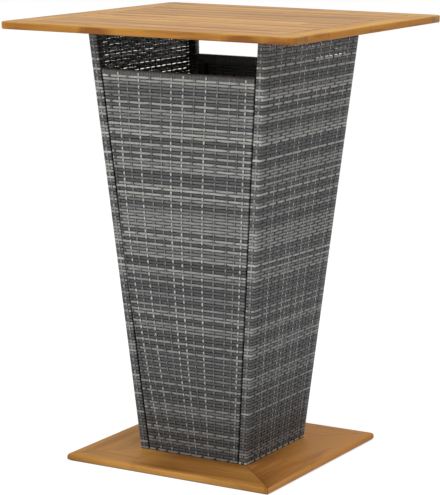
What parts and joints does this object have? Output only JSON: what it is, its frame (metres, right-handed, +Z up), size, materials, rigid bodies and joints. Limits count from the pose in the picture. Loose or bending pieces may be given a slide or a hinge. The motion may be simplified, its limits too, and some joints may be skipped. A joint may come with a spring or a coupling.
{
  "type": "standing bar table",
  "caption": "Square bar-height table with a slatted wooden top, a hollow woven column that widens upwards and a mitred wooden base.",
  "frame": {"origin": "on the floor under the middle of the table", "axes": "+X to the right along the slats, +Y from the open front to the open back, +Z up"},
  "size_m": [0.765, 0.765, 1.05],
  "materials": {
    "top_wood": "oiled, satin",
    "base_wood": "oiled, satin",
    "woven_strand": "extruded flat strand in mixed greys",
    "frame_steel": "powder coated, matt",
    "fastener_steel": "zinc plated",
    "glide_plastic": "moulded, matt"
  },
  "bodies": {
    "root": {"back_panel_bottom_rail": "frame_steel", "back_panel_left_stile": "frame_steel", "back_panel_middle_rail": "frame_steel", "back_panel_right_stile": "frame_steel", "back_panel_top_rail": "frame_steel", "back_panel_weave": "woven_strand", "base_back_board": "base_wood", "base_bolts": "fastener_steel", "base_front_board": "base_wood", "base_left_board": "base_wood", "base_mitre_tenons": "base_wood", "base_right_board": "base_wood", "base_rivet_nuts": "fastener_steel", "front_panel_bottom_rail": "frame_steel", "front_panel_left_stile": "frame_steel", "front_panel_middle_rail": "frame_steel", "front_panel_right_stile": "frame_steel", "front_panel_top_rail": "frame_steel", "front_panel_weave": "woven_strand", "glide_back_left": "glide_plastic", "glide_back_right": "glide_plastic", "glide_front_left": "glide_plastic", "glide_front_right": "glide_plastic", "left_panel_back_stile": "frame_steel", "left_panel_bottom_rail": "frame_steel", "left_panel_front_stile": "frame_steel", "left_panel_middle_rail": "frame_steel", "left_panel_top_rail": "frame_steel", "left_panel_weave": "woven_strand", "right_panel_back_stile": "frame_steel", "right_panel_bottom_rail": "frame_steel", "right_panel_front_stile": "frame_steel", "right_panel_middle_rail": "frame_steel", "right_panel_top_rail": "frame_steel", "right_panel_weave": "woven_strand", "seam_bolts": "fastener_steel", "seam_rivet_nuts": "fastener_steel", "top_back_rail": "top_wood", "top_batten_screws": "fastener_steel", "top_bracket_bolts": "fastener_steel", "top_bracket_rivet_nuts": "fastener_steel", "top_bracket_screws": "fastener_steel", "top_brackets": "frame_steel", "top_front_rail": "top_wood", "top_left_batten": "top_wood", "top_left_rail": "top_wood", "top_rail_tenons": "top_wood", "top_right_batten": "top_wood", "top_right_rail": "top_wood", "top_slat_1": "top_wood", "top_slat_10": "top_wood", "top_slat_2": "top_wood", "top_slat_3": "top_wood", "top_slat_4": "top_wood", "top_slat_5": "top_wood", "top_slat_6": "top_wood", "top_slat_7": "top_wood", "top_slat_8": "top_wood", "top_slat_9": "top_wood"}
  },
  "joints": []
}
